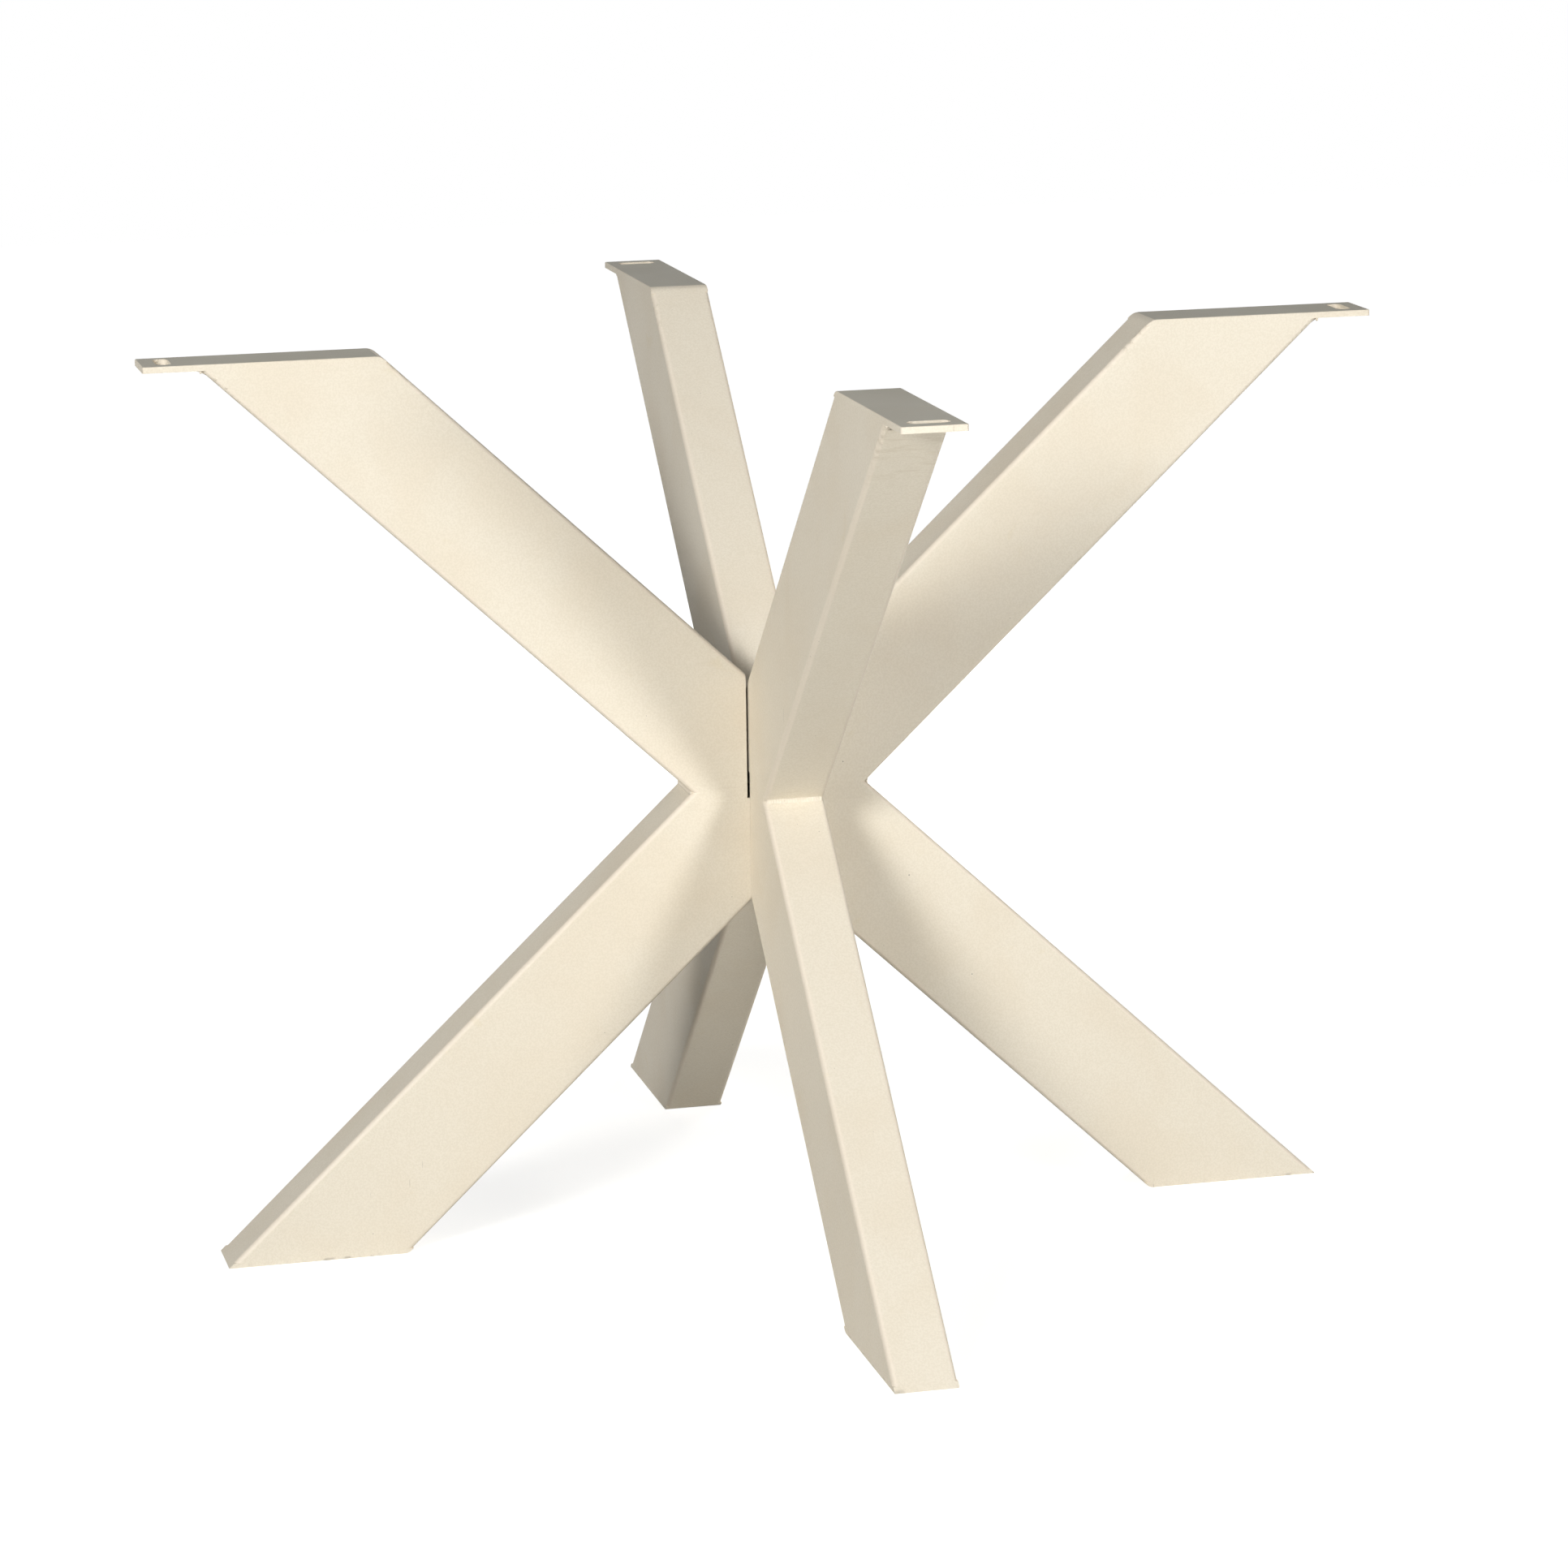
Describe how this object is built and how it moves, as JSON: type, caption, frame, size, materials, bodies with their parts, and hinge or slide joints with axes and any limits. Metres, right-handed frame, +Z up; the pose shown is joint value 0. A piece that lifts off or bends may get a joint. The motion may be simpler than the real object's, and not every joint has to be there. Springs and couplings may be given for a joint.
{
  "type": "x shaped table base",
  "caption": "Free standing table base of crossed steel X frames in rectangular tube, half lapped at the middle, with slotted mounting plates on top.",
  "frame": {"origin": "on the floor, on the vertical centre line where the two frames cross", "axes": "+Z up, X along the side frame with the left and right legs, Y along the cross frame with the front leg towards -Y"},
  "size_m": [1, 1, 0.73],
  "materials": {
    "powder_coat": "fine textured satin powder coat, cream"
  },
  "bodies": {
    "root": {"right_upper_arm": "powder_coat", "right_lower_arm": "powder_coat", "right_top_plate": "powder_coat", "right_foot_plate": "powder_coat", "right_tab_weld": "powder_coat", "right_waist_weld": "powder_coat", "back_upper_arm": "powder_coat", "back_lower_arm": "powder_coat", "back_top_plate": "powder_coat", "back_foot_plate": "powder_coat", "back_tab_weld": "powder_coat", "back_waist_weld": "powder_coat", "left_upper_arm": "powder_coat", "left_lower_arm": "powder_coat", "left_top_plate": "powder_coat", "left_foot_plate": "powder_coat", "left_tab_weld": "powder_coat", "left_waist_weld": "powder_coat", "front_upper_arm": "powder_coat", "front_lower_arm": "powder_coat", "front_top_plate": "powder_coat", "front_foot_plate": "powder_coat", "front_tab_weld": "powder_coat", "front_waist_weld": "powder_coat"}
  },
  "joints": []
}
